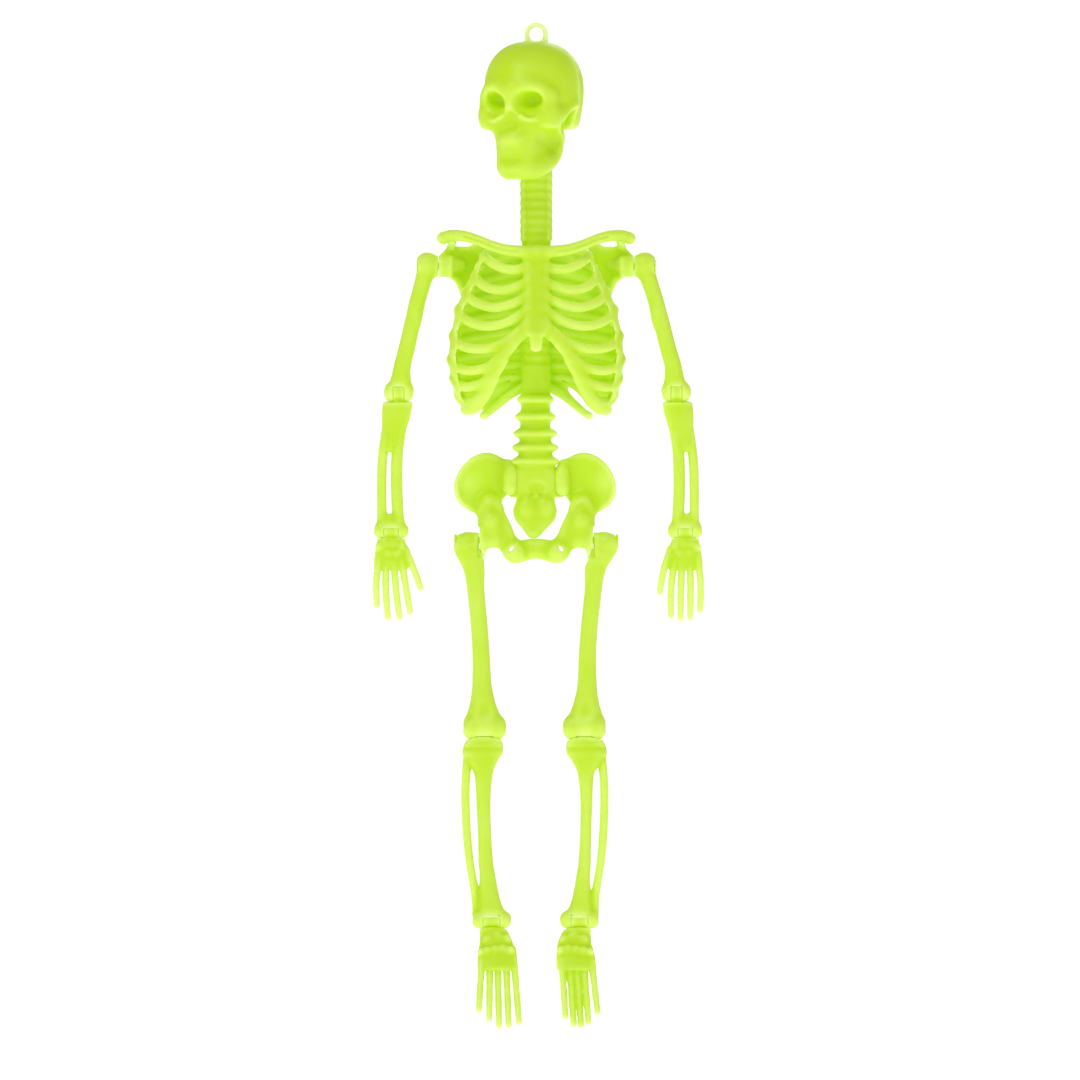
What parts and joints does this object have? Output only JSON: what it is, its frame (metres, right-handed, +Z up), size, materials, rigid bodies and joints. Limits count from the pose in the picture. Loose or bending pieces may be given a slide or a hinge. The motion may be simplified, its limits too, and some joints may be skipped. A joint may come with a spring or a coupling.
{
  "type": "halloween skeleton figure",
  "caption": "Hanging toy skeleton of soft neon plastic, its skull, trunk and limbs pinned together so that the limbs swing and the head turns.",
  "frame": {"origin": "centre of the hanging loop's hole", "axes": "+Z up; the trunk faces -Y; +X towards the figure's left hand"},
  "size_m": [0.1061, 0.039, 0.3218],
  "materials": {
    "bone": "soft satin, slightly translucent",
    "pin": "soft satin",
    "loop": "soft satin, translucent"
  },
  "bodies": {
    "skull": {"hanging_loop": "loop", "skull_face": "bone", "skull_back": "bone"},
    "torso": {"spine": "bone", "front_ribcage": "bone", "rear_ribcage": "bone", "pelvis": "bone", "shoulder_pin_right": "pin", "hip_pin_right": "pin", "shoulder_pin_left": "pin", "hip_pin_left": "pin"},
    "upper_arm_right": {"humerus_right": "bone", "elbow_pin_right": "pin"},
    "lower_arm_right": {"forearm_right": "bone", "wrist_pin_right": "pin"},
    "hand_right": {"hand_right": "bone"},
    "thigh_right": {"femur_right": "bone", "knee_pin_right": "pin"},
    "lower_leg_right": {"shin_right": "bone", "ankle_pin_right": "pin"},
    "foot_right": {"foot_right": "bone"},
    "upper_arm_left": {"humerus_left": "bone", "elbow_pin_left": "pin"},
    "lower_arm_left": {"forearm_left": "bone", "wrist_pin_left": "pin"},
    "hand_left": {"hand_left": "bone"},
    "thigh_left": {"femur_left": "bone", "knee_pin_left": "pin"},
    "lower_leg_left": {"shin_left": "bone", "ankle_pin_left": "pin"},
    "foot_left": {"foot_left": "bone"}
  },
  "joints": [
    {"name": "neck_turn", "type": "hinge", "parent": "skull", "child": "torso", "pos_m": [0, 0, -0.03365], "axis": [0, 0, 1], "range_deg": [-80, 80]},
    {"name": "shoulder_swing_right", "type": "hinge", "parent": "torso", "child": "upper_arm_right", "pos_m": [-0.0313, 0.0015, -0.0741], "axis": [-1, 0, 0], "range_deg": [-80, 175]},
    {"name": "elbow_bend_right", "type": "hinge", "parent": "upper_arm_right", "child": "lower_arm_right", "pos_m": [-0.04405, 0.0015, -0.1145], "axis": [-1, 0, 0], "range_deg": [-8, 85]},
    {"name": "wrist_bend_right", "type": "hinge", "parent": "lower_arm_right", "child": "hand_right", "pos_m": [-0.04645, 0.0015, -0.1589], "axis": [-1, 0, 0], "range_deg": [-60, 60]},
    {"name": "hip_swing_right", "type": "hinge", "parent": "torso", "child": "thigh_right", "pos_m": [-0.01825, 0.0015, -0.1619], "axis": [-1, 0, 0], "range_deg": [-30, 90]},
    {"name": "knee_bend_right", "type": "hinge", "parent": "thigh_right", "child": "lower_leg_right", "pos_m": [-0.01655, 0.0015, -0.2219], "axis": [1, 0, 0], "range_deg": [-8, 80]},
    {"name": "ankle_bend_right", "type": "hinge", "parent": "lower_leg_right", "child": "foot_right", "pos_m": [-0.0143, 0.0015, -0.2834], "axis": [-1, 0, 0], "range_deg": [-10, 60]},
    {"name": "shoulder_swing_left", "type": "hinge", "parent": "torso", "child": "upper_arm_left", "pos_m": [0.0313, 0.0015, -0.0741], "axis": [-1, 0, 0], "range_deg": [-80, 175]},
    {"name": "elbow_bend_left", "type": "hinge", "parent": "upper_arm_left", "child": "lower_arm_left", "pos_m": [0.0449, 0.0015, -0.1145], "axis": [-1, 0, 0], "range_deg": [-8, 85]},
    {"name": "wrist_bend_left", "type": "hinge", "parent": "lower_arm_left", "child": "hand_left", "pos_m": [0.04765, 0.0015, -0.1589], "axis": [-1, 0, 0], "range_deg": [-60, 60]},
    {"name": "hip_swing_left", "type": "hinge", "parent": "torso", "child": "thigh_left", "pos_m": [0.01825, 0.0015, -0.1619], "axis": [-1, 0, 0], "range_deg": [-30, 90]},
    {"name": "knee_bend_left", "type": "hinge", "parent": "thigh_left", "child": "lower_leg_left", "pos_m": [0.01545, 0.0015, -0.2219], "axis": [1, 0, 0], "range_deg": [-8, 80]},
    {"name": "ankle_bend_left", "type": "hinge", "parent": "lower_leg_left", "child": "foot_left", "pos_m": [0.01385, 0.0015, -0.2834], "axis": [-1, 0, 0], "range_deg": [-10, 60]}
  ]
}
